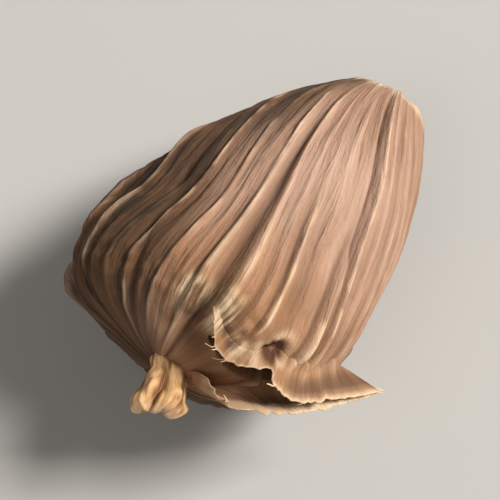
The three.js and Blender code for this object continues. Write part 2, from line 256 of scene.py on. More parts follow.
def outline(share):
    """The husk's size at a share of its length, as a share of the widest."""
    neck = 1 - (1 - SCAR_SIZE) * np.clip((WIDEST_AT - share) / WIDEST_AT, 0, 1) ** NECK_POWER
    out = np.clip((share - WIDEST_AT) / (1 - WIDEST_AT), 0, 1)
    crown = (1 - out ** CROWN_POWER) ** (1 / CROWN_POWER)
    return np.where(share <= WIDEST_AT, neck, crown)


def twist(share):
    """How far the ribs have wound round."""
    return RIB_TWIST * ((1 - (1 - share) ** 2) - (1 - (1 - TWIST_ZERO_AT) ** 2))


def spread(turn, share):
    """How far a rib has drawn aside at a share, for its turn without the twist."""
    return CROWN_SPREAD * smoothly(share, SPREAD_FROM, 1) * np.sin(2 * (turn - SPREAD_MIDDLE))


def unwound(turn, share):
    """A place's turn without twist and spread, along which fibres run."""
    plain = turn - twist(share)
    return plain - spread(plain - spread(plain, share), share)


def skin(turn, share, lift=0.0, size=None):
    """Points of the plain husk, lifted straight out of it by a height."""
    turn, share, lift = np.broadcast_arrays(np.asarray(turn, float), share, lift)
    size = outline(share) if size is None else size
    angle = turn + BEST_SIDE
    lobes = 1 + LOBE * np.cos(3 * (turn - LOBE_TURN))
    radius = lobes / np.hypot(np.sin(angle) / HALF_WIDTH, np.cos(angle) / HALF_HEIGHT)
    step = 0.004
    near = np.clip(share, step, 1 - 2 * step)
    slope = (outline(near + step) - outline(near - step)) * radius / (2 * step * BODY_LENGTH)
    out = 1 / np.hypot(1, slope)
    reach = radius * size + lift * out * np.clip(size / 0.12, 0, 1)
    return np.stack([
        reach * np.sin(angle) + NECK_SHIFT * np.maximum(1 - share, 0) ** 1.5,
        BODY_LENGTH * (0.5 - share) + lift * slope * out,
        reach * np.cos(angle),
    ], axis=-1)


def laid_down(points):
    """Points of the pod's own frame, where they lie in the scene, in metres. None is below the floor."""
    x, y, z = np.moveaxis(points, -1, 0)
    tilt = -RESTING_TILT
    placed = np.stack([
        x + MIDDLE_SHIFT[0],
        y * math.cos(tilt) - z * math.sin(tilt) + MIDDLE_SHIFT[1],
        np.maximum(y * math.sin(tilt) + z * math.cos(tilt) + AXIS_HEIGHT, 0),
    ], axis=-1)
    return placed * MM


def close_to(here, turn, share, reach):
    """1 at a place on the husk, fading out to 0 round it."""
    return np.exp(-(np.linalg.norm(here - skin(turn, share), axis=-1) / reach) ** 2)


def listed_near(table, turn):
    """The row of a table whose first value, in degrees, is nearest to a rib's turn, or None."""
    for row in table:
        if abs(wrapped(math.radians(row[0]) - turn)) < RIB_STEP / 2:
            return row
    return None


def rib_facts():
    """One array for each fact about the ribs, in order round the pod."""
    rows = []
    for i in range(RIBS):
        turn = -math.pi + (i + 0.5) * RIB_STEP
        bold = listed_near(BOLD_RIBS, turn)
        wing = listed_near(WINGS, turn) or NO_WING
        even = i % 2 == 0
        rows.append({
            "turn": math.radians(bold[0]) if bold else turn + 0.45 * RIB_STEP * (chance(i, 1) - 0.5),
            "height": RIB_HEIGHT * (0.3 + 0.8 * chance(i, 2)) * (bold[1] if bold else 1),
            "bold": bold[1] - 0.6 if bold else 0.12,
            "kept": BOLD_KEPT if bold else PLAIN_KEPT,
            "valley": VALLEY_DEPTH * (0.5 + 0.9 * chance(i, 3)),
            "starts": bold[2] if bold else 0 if even else 0.08 + 0.3 * chance(i, 4),
            "ends": 1.1 if even else 0.88 + 0.09 * chance(i, 6),
            "sway": 2 * math.pi * chance(i, 5),
            "wing": wing[1],
            "wing_from": wing[2],
            "wing_to": wing[3],
        })
    return {name: np.array([row[name] for row in rows]) for name in rows[0]}


RIB = rib_facts()


def wing_there(index, share):
    """1 where a rib carries a wing."""
    here = between(share, RIB["wing_from"][index], RIB["wing_to"][index], 0.06)
    return np.where(RIB["wing"][index] > 0, here, 0)


def rib_turn(index, share):
    """The turn at which a rib runs at a share."""
    sway = RIB["sway"][index]
    ripple = WING_RIPPLE * wing_there(index, share) * np.sin(2 * np.pi * WING_WAVES * share + sway)
    turn = RIB["turn"][index]
    return turn + twist(share) + spread(turn, share) + RIB_SWAY * np.sin(SWAY_PACE * share + sway) + ripple


def rib_height(index, share):
    """How high a rib stands at a share, with its wing."""
    sway = RIB["sway"][index]
    fade_in = smoothly(share, RIB["starts"][index], RIB["starts"][index] + 0.12)
    fade_out = 1 - smoothly(share, RIB["ends"][index] - 0.06, RIB["ends"][index])
    fade_out = fade_out * (1 - 0.6 * smoothly(share, 0.93, 1))
    uneven = 1 + 0.3 * np.sin(23 * share + 2 * sway)
    frill = 1 + 0.28 * np.sin(2 * np.pi * WING_WAVES * 1.6 * share + 3 * sway)
    wing = RIB["wing"][index] * wing_there(index, share) * frill
    return RIB["height"][index] * fade_in * fade_out * uneven + wing


def hollows(turn, share, here):
    """What dents and furrows take off the husk, and how much of it is a furrow."""
    furrow = np.zeros_like(share)
    for at, deep, width, start, end in FURROWS:
        away = wrapped(turn - math.radians(at) - twist(share)) / (width * FURROW_NARROWED)
        furrow += FURROW_KEPT * deep * between(share, start, end) * np.exp(-away * away)
    dent = np.zeros_like(share)
    for at, where, deep, reach in DENTS:
        kept = DENT_KEPT if where < 0.75 else 1
        dent += kept * deep * close_to(here, math.radians(at), where, reach)
    pit, rim = pit_there(here)
    return furrow + dent + PIT_DEPTH * pit - PIT_RIM_HEIGHT * rim, furrow


def pit_there(here):
    """1 in the pit beside the split, and 1 on the rim round it."""
    aside = here - skin(PIT_TURN, PIT_SHARE)
    around = np.arctan2(aside[..., 0], aside[..., 1])
    uneven = 1 + 0.18 * np.sin(2 * around + 0.6) + 0.12 * np.sin(5 * around)
    away = np.linalg.norm(aside, axis=-1) / (PIT_RADIUS * uneven)
    rim = np.exp(-((away - 1.2) / 0.3) ** 2) * (0.6 + 0.4 * np.sin(3 * around + 2))
    return 1 - smoothly(away, 0.1, 1.1), rim


def spots(here, places):
    """1 at listed places (turn in degrees, share, reach), fading out to 0 round each."""
    there = np.zeros(here.shape[:-1])
    for at, share, reach in places:
        there = np.maximum(there, close_to(here, math.radians(at), share, reach))
    return there


def worn_and_lit_there(here):
    """1 where the husk is rubbed smooth and pale, and at listed places where pale colour is painted light
    on spots that lie in shade.
    """
    return np.maximum(close_to(here, *SMOOTH_FACE[:3]), PAINTED_LIGHT_SHARE * spots(here, PAINTED_LIGHT_PLACES))


def bared_and_lit_there(turn, share):
    """1 on the side turned to the light, where the skin is rubbed pale and painted paler as painted light;
    0 on the side turned away, which keeps its dark colour and is painted darker as painted shade.
    """
    around = unwound(turn, share) / (2 * np.pi)
    facing = np.cos(turn - 0.4 * twist(share) - BARED_LIT_TURN) + 0.22 * unevenness(around, share, BARED_LIT_EDGE)
    return smoothly(facing, 0.2, 0.85)


def split_frame():
    """The split's middle and its directions: along it, across it towards the neck, and outwards."""
    start, end = skin(*SPLIT_FROM), skin(*SPLIT_TO)
    along = (end - start) / np.linalg.norm(end - start)
    turn = (SPLIT_FROM[0] + SPLIT_TO[0]) / 2
    share = (SPLIT_FROM[1] + SPLIT_TO[1]) / 2 + 0.02
    middle = skin(turn, share)
    outwards = skin(turn, share, 1.0) - middle
    across = np.cross(outwards, along)
    across /= np.linalg.norm(across)
    return middle, along, across, np.cross(along, across)


def split_depth(points):
    """How deep the split is at points of the husk, 0 to 1."""
    middle, along, across, facing = split_frame()
    away = points - middle
    u = (away @ along - SPLIT_SHIFT) / (SPLIT_LENGTH / 2)
    bend = SPLIT_GAP * (SPLIT_ASIDE - SPLIT_BOW * (1 - u * u))
    half_gap = SPLIT_GAP * SPLIT_HALF * np.sqrt(np.clip(1 - u * u, 0.0001, 1))
    v = np.abs(away @ across - bend) / half_gap
    facing_here = (away @ facing) > SPLIT_UNDER
    return np.where(facing_here & (np.abs(u) < 1), 1 - smoothly(v, *SPLIT_WALL), 0)


def column_at(turn, share):
    """The column number, 0 to RIBS, of a turn at a share: the rib before it, and how far past it."""
    ribs = rib_turn(np.arange(RIBS), np.asarray(share)[..., None])
    behind = np.mod(np.asarray(turn)[..., None] - ribs, 2 * np.pi)
    index = np.argmin(behind, axis=-1)
    start = np.take_along_axis(ribs, index[..., None], -1)[..., 0]
    end = np.take_along_axis(ribs, ((index + 1) % RIBS)[..., None], -1)[..., 0]
    return index + np.clip(wrapped(turn - start) / np.mod(end - start, 2 * np.pi), 0, 0.999)


def rib_relief(column, share):
    """How far ribs and valleys stand out or in at column numbers (0 to RIBS) and shares.

    With it come how pale the crest is there, how much painted shade darkens the groove beside it, and the
    turn.
    """
    index = np.floor(column).astype(int) % RIBS
    place = column - np.floor(column)
    after = (index + 1) % RIBS
    start = rib_turn(index, share)
    step = wrapped(rib_turn(after, share) - start)
    turn = start + place * step
    radius = outline(share) * HALF_WIDTH + 0.5
    nearest = np.minimum(place, 1 - place)
    worn_down = unevenness(index / RIBS, share, VALLEY_WEAR)
    valley = VALLEY_KEPT * RIB["valley"][index] * (1 + 0.8 * worn_down)
    lift = -valley * smoothly(nearest, *VALLEY_WALL) * (1 - 0.7 * smoothly(share, 0.9, 1))
    crest = groove = 0
    for rib, away, side in ((index, place, 1), (after, 1 - place, -1)):
        wing = wing_there(rib, share)
        narrow = np.minimum(RIB_SPREAD, WING_HALF_THICKNESS / radius / step)
        width = RIB_SPREAD * (1 - wing) + narrow * wing
        kept = RIB["kept"][rib] * (1 - wing) + wing + 0.25 * unevenness(rib / RIBS, share, RIB_WEAR)
        there = rib_height(rib, share) / RIB_HEIGHT
        lift = lift + RIB_HEIGHT * there * kept * np.exp(-(away / width) ** RIB_POWER)
        if side < 0:
            groove = np.minimum(1, there) * np.exp(-((away - GROOVE_AT) / GROOVE_SPREAD) ** 2)
            lift = lift - GROOVE_DEPTH * groove
        broken = smoothly(unevenness(rib / RIBS, share, CREST_BREAKS), -0.5, 0.3)
        pale = RIB["bold"][rib] * np.minimum(1, there) * broken
        crest = crest + pale * np.exp(-(away / CREST_SPREAD) ** 2)
    groove *= np.clip(1.5 * RIB["bold"][after], 0, 1)
    return lift * (0.2 + 0.8 * smoothly(share, 0.0, 0.26)), np.clip(crest, 0, 1), groove, turn


def fine_relief(around, share):
    """Strands, fibres and wrinkles that are too fine for the solid model, and its faint swells."""
    strands = unevenness(around, share, STRANDS) + 0.6 * unevenness(around, share, THIN_STRANDS)
    fibres = unevenness(around, share, FIBRES)
    patches = 0.5 + 0.5 * unevenness(around, share, WRINKLE_PATCHES)
    frayed = spots(skin(around * 2 * np.pi + twist(share), share), FRAYED_ZONES)
    wrinkled = 0.6 + 1.4 * smoothly(share, 0.75, 0.95) + 2.5 * frayed
    wrinkles = unevenness(around, share, WRINKLES) * patches * wrinkled
    swells = SWELL_HEIGHT * unevenness(around, share, SWELLS)
    return STRAND_HEIGHT * strands + FIBRE_HEIGHT * fibres + WRINKLE_HEIGHT * wrinkles + swells


def kept_on(here, side):
    """What ribs keep of their height on one smooth side, and 1 away from it."""
    *place, kept = side
    return 1 - (1 - kept) * close_to(here, *place)


def kept_relief(here):
    """What ribs keep of their height."""
    return kept_on(here, SMOOTH_FACE) * kept_on(here, PRESSED_SIDE)


def shrunk(share):
    """How relief shrinks where the husk gets narrow."""
    return np.minimum(1, outline(share) * 1.15)


def skin_facts(here, turn, share, ridge):
    """What the husk and the lips are made of, with their painted light and shade, for their material to
    read.
    """
    pit, pit_rim = pit_there(here)
    bared_and_lit = bared_and_lit_there(turn, share)
    return {
        "ridge": np.clip((ridge + 0.15) / 0.6, 0, 1),
        "pit": pit,
        "rim": 0.7 * pit_rim,
        "frayed": spots(here, FRAYED_ZONES),
        "worn_and_lit": worn_and_lit_there(here),
        "bared_and_lit": bared_and_lit,
        "warm": bared_and_lit * smoothly(share, 0.62, 0.9),
    }


def husk_points(column, share):
    """The finished husk's points for column numbers (0 to RIBS) and shares, with what they are made of."""
    ridge, crest, groove, turn = rib_relief(column, share)
    here = skin(turn, share)
    around = unwound(turn, share) / (2 * np.pi)
    taken, furrow = hollows(turn, share, here)
    kept = kept_relief(here)
    relief = ridge * kept + fine_relief(around, share) - taken
    points = skin(turn, share, relief * shrunk(share))
    split = split_depth(points)
    facing = split_frame()[3]
    points -= facing * (SPLIT_DEPTH * split)[..., None]
    facts = skin_facts(here, turn, share, ridge)
    past_scar = smoothly(share, 0.02, 0.2)
    facts["crest"] = crest * past_scar * kept
    # Painted shade in the groove beside each rib.
    facts["groove"] = groove * past_scar * kept
    # Painted shade in the deep furrows.
    facts["furrow"] = np.clip(furrow * 1.5, 0, 1)
    # Painted shadow at the listed spots.
    facts["painted_shadow"] = spots(here, PAINTED_SHADOWS)
    # Painted shade in the split's hollow.
    facts["inside"] = split
    return points, facts, turn


# Mesh helpers

def start_afresh():
    bpy.ops.object.select_all(action="DESELECT")


def pick(piece):
    start_afresh()
    piece.select_set(True)
    bpy.context.view_layer.objects.active = piece


def named(piece, name):
    piece.name = name
    piece.data.name = name
    return piece


def spindle(name, stations, sides):
    """A closed form drawn up from a ring of edges, with an extrusion for each station (radius, height)."""
    start_afresh()
    radius, height = stations[0]
    bpy.ops.mesh.primitive_circle_add(vertices=sides, radius=radius, location=(0, 0, height))
    piece = named(bpy.context.object, name)
    bpy.ops.object.transform_apply(location=True, rotation=False, scale=False)
    bpy.ops.object.mode_set(mode="EDIT")
    bpy.ops.mesh.select_all(action="SELECT")
    bpy.ops.mesh.edge_face_add()
    bpy.ops.mesh.poke()
    bpy.ops.object.mode_set(mode="OBJECT")
    select_points(piece, lambda co: co.xy.length > radius * 0.5)
    bpy.ops.object.mode_set(mode="EDIT")
    for wider, higher in stations[1:]:
        bpy.ops.mesh.extrude_edges_move(TRANSFORM_OT_translate={"value": (0, 0, higher - height)})
        bpy.ops.transform.resize(value=(wider / radius, wider / radius, 1), center_override=(0, 0, higher))
        radius, height = wider, higher
    bpy.ops.mesh.edge_face_add()
    bpy.ops.mesh.poke()
    bpy.ops.mesh.select_all(action="SELECT")
    bpy.ops.mesh.normals_make_consistent(inside=False)
    bpy.ops.object.mode_set(mode="OBJECT")
    return piece


def select_points(piece, wanted):
    """Selects the points for which wanted(place) is true, and nothing else."""
    for part in (piece.data.polygons, piece.data.edges, piece.data.vertices):
        part.foreach_set("select", [False] * len(part))
    for vertex in piece.data.vertices:
        vertex.select = wanted(vertex.co)
    for edge in piece.data.edges:
        edge.select = all(piece.data.vertices[i].select for i in edge.vertices)


def subdivided(piece, levels):
    modifier = piece.modifiers.new("smooth", "SUBSURF")
    modifier.levels = levels
    modifier.render_levels = levels
    apply_modifier(piece, modifier)


def apply_modifier(piece, modifier):
    pick(piece)
    bpy.ops.object.modifier_apply(modifier=modifier.name)


def places_of(piece):
    values = np.empty(len(piece.data.vertices) * 3)
    piece.data.vertices.foreach_get("co", values)
    return values.reshape(-1, 3)


def move_points(piece, places):
    piece.data.vertices.foreach_set("co", np.asarray(places, float).ravel())
    piece.data.update()


def keep_value(piece, name, values):
    """Stores a number, or three, for each point, for the piece's material to read."""
    values = np.asarray(values, float)
    kind, field = ("FLOAT_VECTOR", "vector") if values.ndim == 2 else ("FLOAT", "value")
    piece.data.attributes.new(name, kind, "POINT").data.foreach_set(field, values.ravel())


def kept_value(piece, name):
    values = np.empty(len(piece.data.vertices))
    piece.data.attributes[name].data.foreach_get("value", values)
    return values


def shade_smooth(piece):
    pick(piece)
    bpy.ops.object.shade_smooth()


def fibre_place(turn, share):
    """Where a point lies for the fibre patterns: they run along the ribs, and join up round the pod."""
    fibre = unwound(turn, share)
    return np.stack([np.sin(fibre) * HALF_WIDTH, share * BODY_LENGTH, np.cos(fibre) * HALF_WIDTH], axis=-1)


def keep_values(piece, facts, turn, share):
    """Stores what a piece is made of, and where its points lie for the fibre patterns."""
    for name, values in facts.items():
        keep_value(piece, name, values)
    keep_value(piece, "fibre", fibre_place(turn, share))


# Pieces

def make_husk():
    """The husk, with its ribs, furrows, wings, split, pit and scar."""
    steps = [k / SIDE_SPANS for k in range(-SCAR_SPANS, SIDE_SPANS + 1)]
    rises = [(k + 0.5) / len(steps) for k in range(len(steps))]
    stations = [(HALF_WIDTH * max(0.05, math.sin(math.pi * rise)), BODY_LENGTH * rise) for rise in rises]
    piece = spindle("husk", stations, CAGE_COLUMNS)
    heights = [height for _, height in stations]
    keep_value(piece, "step", np.interp(places_of(piece)[:, 2], heights, steps))
    subdivided(piece, HUSK_LEVELS)

    cage = places_of(piece)
    step = kept_value(piece, "step")
    column = np.mod(np.arctan2(cage[:, 0], cage[:, 1]) / RIB_STEP, RIBS)
    on_side = np.clip(step, 0, 1)
    up_neck = WIDEST_AT * on_side / NECK_SPAN_SHARE
    round_crown = np.clip((on_side - NECK_SPAN_SHARE) / (1 - NECK_SPAN_SHARE), 0, 1)
    on_crown = WIDEST_AT + (1 - WIDEST_AT) * np.sin(round_crown * np.pi / 2) ** (2 / CROWN_POWER)
    share = np.where(on_side < NECK_SPAN_SHARE, up_neck, on_crown)
    points, facts, turn = husk_points(column, share)

    inwards = np.clip(-step * SIDE_SPANS / SCAR_SPANS, 0, 1)
    scar_middle = skin(0.0, 0.0, 0.0, 0.0)
    sunk = SCAR_HOLLOW * (smoothly(inwards, 0.02, 0.35) - 0.45 * smoothly(inwards, 0.75, 0.95))
    round_rim = column / RIBS
    rings = 0.1 * np.sin(inwards * 26) + 0.12 * unevenness(round_rim, inwards, SCAR_GRAIN)
    scar = points + (scar_middle - points) * inwards[:, None]
    scar[:, 1] += -sunk + rings * smoothly(inwards, 0.1, 0.3)
    on_scar = inwards > 0
    points = np.where(on_scar[:, None], scar, points)
    chipped = 0.5 + 0.5 * unevenness(round_rim, 0 * step, SCAR_RIM_CHIPS)
    points[:, 1] -= SCAR_CHIPS * chipped * np.exp(-(step / SCAR_RIM_REACH) ** 2)
    move_points(piece, laid_down(points))
    facts["scar"] = np.where(on_scar, smoothly(inwards, 0.05, 0.3), 0)
    worn_and_lit = 0.65 + 0.35 * unevenness(round_rim, 0 * step, SCAR_RIM_WEAR)
    reach = SCAR_RIM_REACH * (0.7 + 0.55 * unevenness(round_rim, 0 * step, SCAR_RIM_FRINGE))
    facts["rim"] = np.maximum(facts["rim"], worn_and_lit * np.exp(-((step - 0.3 * SCAR_RIM_REACH) / reach) ** 2))
    keep_values(piece, facts, turn, share)
    shade_smooth(piece)
    return piece


def curve_through(points, steps):
    """Even steps along a smooth curve through a few points."""
    points = np.array(points, float)
    ends = np.vstack([2 * points[0] - points[1], points, 2 * points[-1] - points[-2]])
    t = np.linspace(0, len(points) - 1, steps)
    i = np.minimum(t.astype(int), len(points) - 2)
    f = (t - i)[:, None]
    a, b, c, d = ends[i], ends[i + 1], ends[i + 2], ends[i + 3]
    bend = 2 * a - 5 * b + 4 * c - d
    twist_in = 3 * b - a - 3 * c + d
    return 0.5 * (2 * b + (c - a) * f + bend * f ** 2 + twist_in * f ** 3)


def flat_grid(name, long_points, cross_points):
    """A plane of a unit's size, cut into a grid."""
    start_afresh()
    bpy.ops.mesh.primitive_grid_add(x_subdivisions=long_points - 1, y_subdivisions=cross_points - 1, size=1)
    return named(bpy.context.object, name)


def thickened(piece, weights):
    """Gives a lip its thickness, all of it where a point weighs 1 and the thin share where it weighs 0."""
    group = piece.vertex_groups.new(name="full")
    for i, weight in enumerate(weights):
        group.add([i], float(weight), "REPLACE")
    modifier = piece.modifiers.new("thickness", "SOLIDIFY")
    modifier.thickness = LIP_THICKNESS * MM
    modifier.offset = 0
    modifier.vertex_group = "full"
    modifier.thickness_vertex_group = LIP_THIN_SHARE
    apply_modifier(piece, modifier)


def lip_points(line, body_side, bend, rim_from, seed, s, w):
    """Points of a torn lip of the split, with what they are made of.

    s runs along it, from its end near the stub, and w from its root to its torn edge. It leaves the husk
    gently, and past SPUR_FROM it is one side of a spur. body_side is -1 where the husk is on its neck side,
    bend leans its edge towards the neck, and its edge is pale from rim_from on.
    """
    def along_edge(columns, number):
        return unevenness(s, w * 0, (columns, 1, seed + number))

    stations = curve_through(line, LINE_STEPS)
    at = s * (LINE_STEPS - 1)
    degrees, line_share, flare = (np.interp(at, np.arange(LINE_STEPS), values) for values in stations.T)
    turn = np.radians(degrees)
    back = (LIP_SHORTEST + LIP_PER_FLARE * np.minimum(flare, LIP_WIDEST)) / BODY_LENGTH
    on_spur = np.maximum(turn - SPUR_FROM, 0)
    spur = smoothly(on_spur, 0, math.radians(9))
    root_turn = turn - on_spur * (1 - SPUR_SPREAD)
    root_share = line_share + body_side * back
    root_share += (SPUR_ROOT - root_share) * spur * 0.75
    share = np.clip(root_share + (line_share - root_share) * w, 0.3, 0.994)
    turn = root_turn + (turn - root_turn) * w
    ridge, crest, groove, _ = rib_relief(column_at(turn, share), share)
    around = unwound(turn, share) / (2 * np.pi)
    here = skin(turn, share)
    taken, furrow = hollows(turn, share, here)
    facts = skin_facts(here, turn, share, ridge)
    pit = facts["pit"]
    taken = PIT_DEPTH * pit + (taken - PIT_DEPTH * pit) * (1 - w)
    flatter = 1 - 0.7 * smoothly(w, 0.3, 1)
    relief = (ridge * kept_relief(here) * flatter + fine_relief(around, share) - taken) * shrunk(share)
    frayed = (0.35 + 0.65 * smoothly(along_edge(9, 0), -0.4, 0.6)) * (1 - 0.7 * spur)
    torn = TEAR * frayed * (along_edge(34, 1) + 0.7 * along_edge(95, 4))
    rise = flare * w ** LIP_RISE_POWER + torn * np.minimum(1, flare / 0.4) * smoothly(w, 0.6, 1)
    lift = relief + rise - LIP_THICKNESS * (0.55 + 0.5 * (1 - smoothly(w, 0, 0.25)))
    across = skin(turn, share - 0.01) - skin(turn, share + 0.01)
    across /= np.linalg.norm(across, axis=-1)[..., None]
    ripple = 0.16 * along_edge(15, 2) + 0.06 * along_edge(40, 3)
    points = skin(turn, share, lift) + across * ((bend + ripple) * np.minimum(1, flare) * w ** 2)[..., None]
    near_stub = 1 - smoothly(s, 0.3, 0.6)
    dull = 0.6 * near_stub if body_side > 0 else 0
    edge = smoothly(w, rim_from, rim_from + 0.07) * (1 - dull)
    facts["crest"] = crest * (1 - w)
    # Painted shade in the groove, fading out towards the torn edge.
    facts["groove"] = groove * (1 - w)
    # Painted shade in the furrows, fading out towards the torn edge.
    facts["furrow"] = np.clip(furrow * (1 - w), 0, 1)
    # Painted shadow on the flared lip's concave middle, where it would lie in shade.
    facts["painted_shadow"] = smoothly(flare, 0.9, 2.0) * smoothly(w, 0.5, 0.8) * (1 - smoothly(w, 0.88, 0.98))
    facts["rim"] = np.maximum(edge, facts["rim"])
    facts["warm"] = np.maximum(facts["warm"], (0.9 + 0.5 * near_stub) * w)
    facts["frayed"] *= 1 - 0.5 * w
    return points, facts, turn, share


def make_lip(name, *line):
    piece = flat_grid(name, LIP_LONG, LIP_CROSS)
    flat = places_of(piece)
    s = np.clip(flat[:, 0] + 0.5, 0, 1)
    w = np.clip(flat[:, 1] + 0.5, 0, 1)
    points, facts, turn, share = lip_points(*line, s, w)
    move_points(piece, laid_down(points))
    keep_values(piece, facts, turn, share)
    thickened(piece, 1 - smoothly(w, 0.3, 1.0))
    subdivided(piece, 1)
    shade_smooth(piece)
    return piece


def make_stub():
    """The dried flower tube: a crumpled, fluted knob whose withered end is pursed round a dark hollow."""
    stations = [(STUB_RADIUS * wide, -STUB_ROOT * deep) for wide, deep in STUB_ROOT_FORM]
    stations += [(STUB_RADIUS * wide, STUB_LENGTH * high) for wide, high in STUB_FORM]
    piece = spindle("flower_tube_stub", stations, STUB_SIDES)
    ring = np.arange(len(piece.data.vertices)) // STUB_SIDES
    # Painted shade inside its pursed end.
    keep_value(piece, "inside", np.clip((ring - STUB_MOUTH_RING) / 2, 0, 1))
    subdivided(piece, 2)
    cage = places_of(piece)
    angle = np.arctan2(cage[:, 0], cage[:, 1])
    up = np.clip(cage[:, 2] / STUB_LENGTH, 0, 1)
    around = angle / (2 * np.pi) + 0.5
    creases = unevenness(around, up, STUB_CREASES)
    folds = np.abs(np.sin(STUB_FLUTES * angle / 2 + 0.5 + 0.7 * up)) ** 0.7 - 0.6
    flute = 1 + (0.06 + 0.34 * smoothly(up, 0.1, 0.8)) * folds - 0.16 * up * np.cos(2 * angle + 0.4)
    flute += 0.16 * unevenness(around, up, STUB_BUMPS) + 0.09 * creases
    nicks = 0.35 * unevenness(around, up * 0, STUB_TEARS) + 0.2 * unevenness(around, up * 0, STUB_NICKS)
    torn = 0.3 * np.cos(angle + 1) + nicks
    height = cage[:, 2] + (torn + 0.3 * folds) * smoothly(up, 0.45, 1)
    own = np.stack([cage[:, 0] * flute, cage[:, 1] * flute, height], axis=-1)
    own[:, 0] += 0.25 * np.sin(up * 3)
    lean = Vector(STUB_LEAN).normalized()
    turned = np.array(Vector((0, 0, 1)).rotation_difference(lean).to_matrix())
    root = skin(STUB_TURN, STUB_SHARE, -STUB_SUNK)
    move_points(piece, laid_down(own @ turned.T + root))
    keep_value(piece, "edge", smoothly(up, 0.8, 1.0))
    keep_value(piece, "ridge", smoothly(folds + 0.35 * creases, -0.3, 0.3))
    fibre = [np.sin(angle) * STUB_RADIUS, cage[:, 2] * 0.5, np.cos(angle) * STUB_RADIUS]
    keep_value(piece, "fibre", np.stack(fibre, axis=-1))
    shade_smooth(piece)
    return piece


def fibre_route(start, way, side, length, number):
    """A fibre that leaves its start on its way, drifts sideways and curls."""
    t = np.linspace(0, 1, FIBRE_POINTS)[:, None]
    drift = side * 2.4 * (chance(number, 33) - 0.5)
    curl = side * 1.8 * (chance(number, 34) - 0.5) + way * 0.6 * (chance(number, 35) - 0.7)
    wave = side * 0.12 * np.sin(2 * np.pi * (1.5 * t + chance(number, 38)))
    reach = length * (0.35 + 1.1 * chance(number, 36) ** 2)
    return start + reach * ((way + drift) * t + curl * t * t + wave * t)


def fibre_routes():
    """The routes of the fibres that fray from the lips' torn edges."""
    routes = []
    for side_of_split, first, last, count, length in FRAYED_EDGES:
        for number in range(count):
            s = first + (last - first) * chance(number, 32)
            places = np.array([[s, 0.7], [s, 1.0], [s + 0.01, 1.0]])
            inner, edge, next_edge = lip_points(*side_of_split, *places.T)[0]
            way = (edge - inner) / np.linalg.norm(edge - inner)
            side = (next_edge - edge) / np.linalg.norm(next_edge - edge)
            routes.append(fibre_route(edge - 0.15 * way, way, side, length, number))
    return routes


def make_fibres():
    """Fine dry fibres at the torn places of the crown."""
    start_afresh()
    bpy.ops.curve.primitive_nurbs_path_add(radius=MM)
    piece = named(bpy.context.object, "frayed_fibres")
    curve = piece.data
    curve.splines.clear()
    for number, route in enumerate(fibre_routes()):
        spline = curve.splines.new("POLY")
        spline.points.add(len(route) - 1)
        thick = 0.6 + 2.0 * chance(number, 37) ** 3
        for k, (point, place) in enumerate(zip(spline.points, laid_down(route))):
            point.co = (*place, 1)
            point.radius = thick * (1 - 0.75 * k / (FIBRE_POINTS - 1))
    curve.dimensions = "3D"
    curve.bevel_depth = FIBRE_RADIUS * MM
    curve.bevel_resolution = 1
    curve.use_fill_caps = True
    bpy.ops.object.convert(target="MESH")
    piece = bpy.context.object
    keep_value(piece, "fibre", places_of(piece) / MM)
    shade_smooth(piece)
    return piece


# Materials

def tone(*parts):
    """A colour given as it looks on a screen: its red, green and blue, from 0 to 255."""
    values = [c / 255 for c in parts]
    linear = [c / 12.92 if c <= 0.04045 else ((c + 0.055) / 1.055) ** 2.4 for c in values]
    return (*linear, 1)


# Painted shade in the deep furrows.
FURROW_SHADE_BROWN = tone(66, 44, 31)
# Painted shade for the valleys and grooves, and the real colour of the specks.
SHADE_AND_SPECK_BROWN = tone(92, 68, 50)
# The husk's own dark colours, kept darker partly as painted shade on the side turned away from the light;
# the pale colours after them are partly painted light on the side turned to it.
HUSK_BROWN = tone(48, 37, 26)
HUSK_TAN = tone(80, 61, 45)
BARED_LIT_BROWN = tone(186, 146, 120)
BARED_LIT_TAN = tone(214, 176, 152)
WORN_PINK = tone(230, 196, 172)
# Colours of the smooth rubbed face and of the listed places where pale colour is painted light.
FACE_PINK = tone(208, 171, 148)
FACE_OCHRE = tone(212, 164, 118)
PAPER_TAN = tone(238, 204, 168)
# Painted shadow: for the listed spots, the lips' concave middles and the gaps between frayed shreds.
PAINTED_SHADOW_BROWN = tone(72, 48, 34)
VEIN_BROWN = tone(152, 106, 76)
SHRED_CREAM = tone(232, 204, 168)
OCHRE = tone(186, 134, 88)
STUB_BROWN = tone(88, 53, 30)
STUB_TAN = tone(232, 186, 132)
# Painted shade in the pit beside the split.
PIT_SHADE_BROWN = tone(92, 60, 42)
# Painted shade in the split's hollow and inside the stub's pursed end.
HOLLOW_SHADE_BROWN = tone(34, 16, 9)
SCAR_GREY = tone(118, 92, 74)
FLOOR_TONE = tone(196, 194, 190)
FLOOR_SHADE = tone(190, 188, 184)


def add(tree, kind, **settings):
    node = tree.nodes.new(kind)
    for name, value in settings.items():
        setattr(node, name, value)
    return node


def is_socket(value):
    return isinstance(value, bpy.types.NodeSocket)


def put(socket, value):
    """Links another socket to a socket, or sets it to a value."""
    if is_socket(value):
        socket.id_data.links.new(value, socket)
    else:
        socket.default_value = value


def feed(node, **inputs):
    """Sets or links a node's inputs by name, with _ for a space."""
    for name, value in inputs.items():
        put(node.inputs[name.replace("_", " ")], value)
    return node


def worked_out(kind, a, b, clamp=False):
    """Two values worked into one. At least one of them is a socket."""
    tree = a.id_data if is_socket(a) else b.id_data
    node = add(tree, "ShaderNodeMath", operation=kind, use_clamp=clamp)
    put(node.inputs[0], a)
    put(node.inputs[1], b)
    return node.outputs[0]


def plus(a, b, clamp=False):
    return worked_out("ADD", a, b, clamp)


def minus(a, b):
    return worked_out("SUBTRACT", a, b)


def times(a, b):
    return worked_out("MULTIPLY", a, b)


